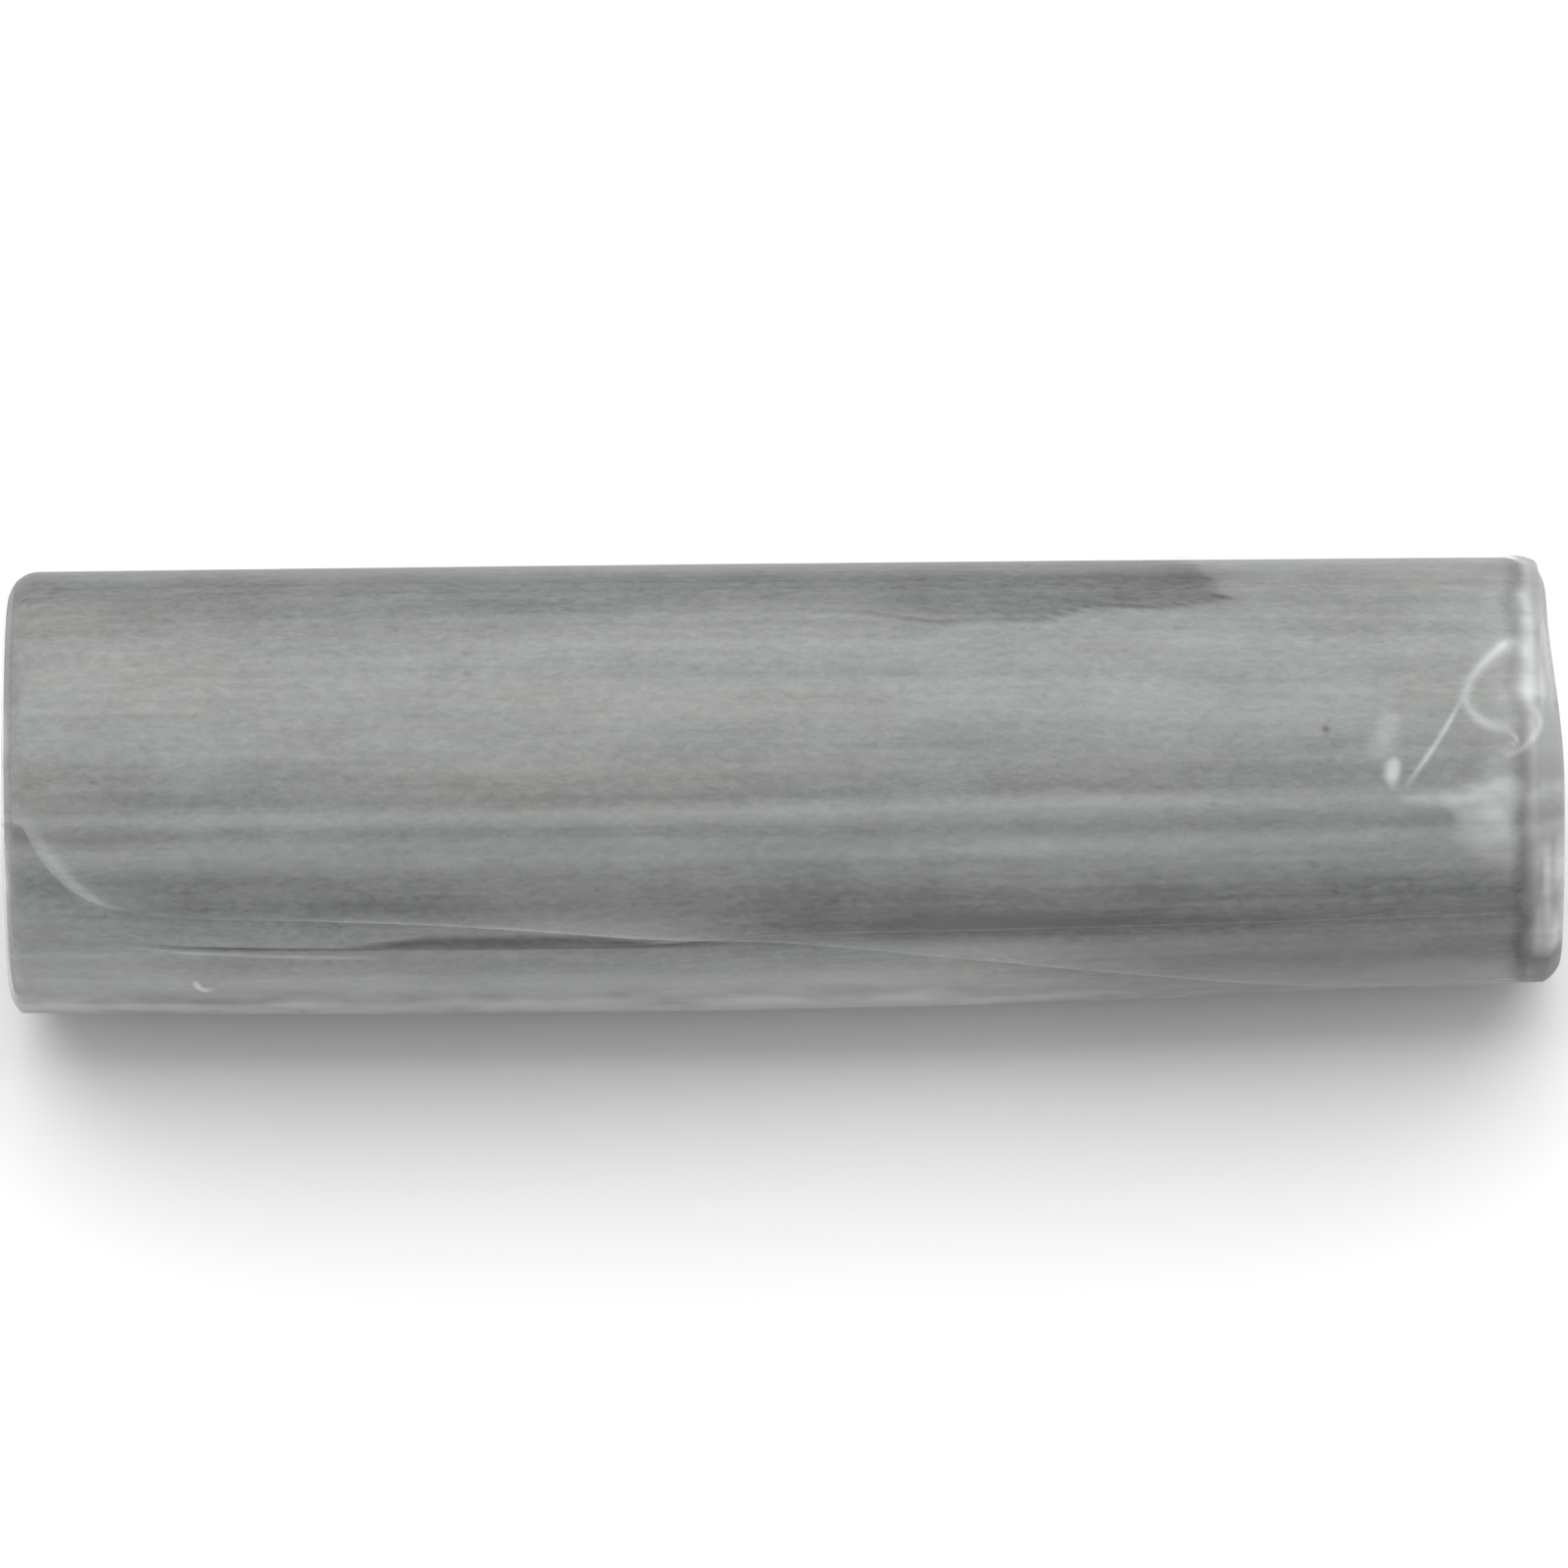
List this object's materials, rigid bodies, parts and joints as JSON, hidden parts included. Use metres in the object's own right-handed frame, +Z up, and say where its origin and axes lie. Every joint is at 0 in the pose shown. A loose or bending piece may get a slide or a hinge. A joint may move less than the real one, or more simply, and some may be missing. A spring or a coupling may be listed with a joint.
{
  "type": "blending stump",
  "caption": "Short thick drawing stump: grey felted paper wound into a tight flat-ended roll, sealed in clear film folded over both ends.",
  "frame": {"origin": "bottom centre of the box round the roll as it lies on its side", "axes": "+X along the roll, from the tightly folded end to the loosely folded end; +Z up; the seam of the outer turn faces -Y"},
  "size_m": [0.0694, 0.0204, 0.0201],
  "materials": {
    "felt_paper": "matte",
    "dried_paste": "satin",
    "clear_film": "gloss"
  },
  "bodies": {
    "root": {"inner_sheet": "felt_paper", "middle_sheet": "felt_paper", "outer_sheet": "felt_paper", "inner_paste_line": "dried_paste", "middle_paste_line": "dried_paste", "outer_paste_line": "dried_paste", "film_sleeve": "clear_film", "left_film_fold": "clear_film", "right_film_fold": "clear_film"}
  },
  "joints": []
}
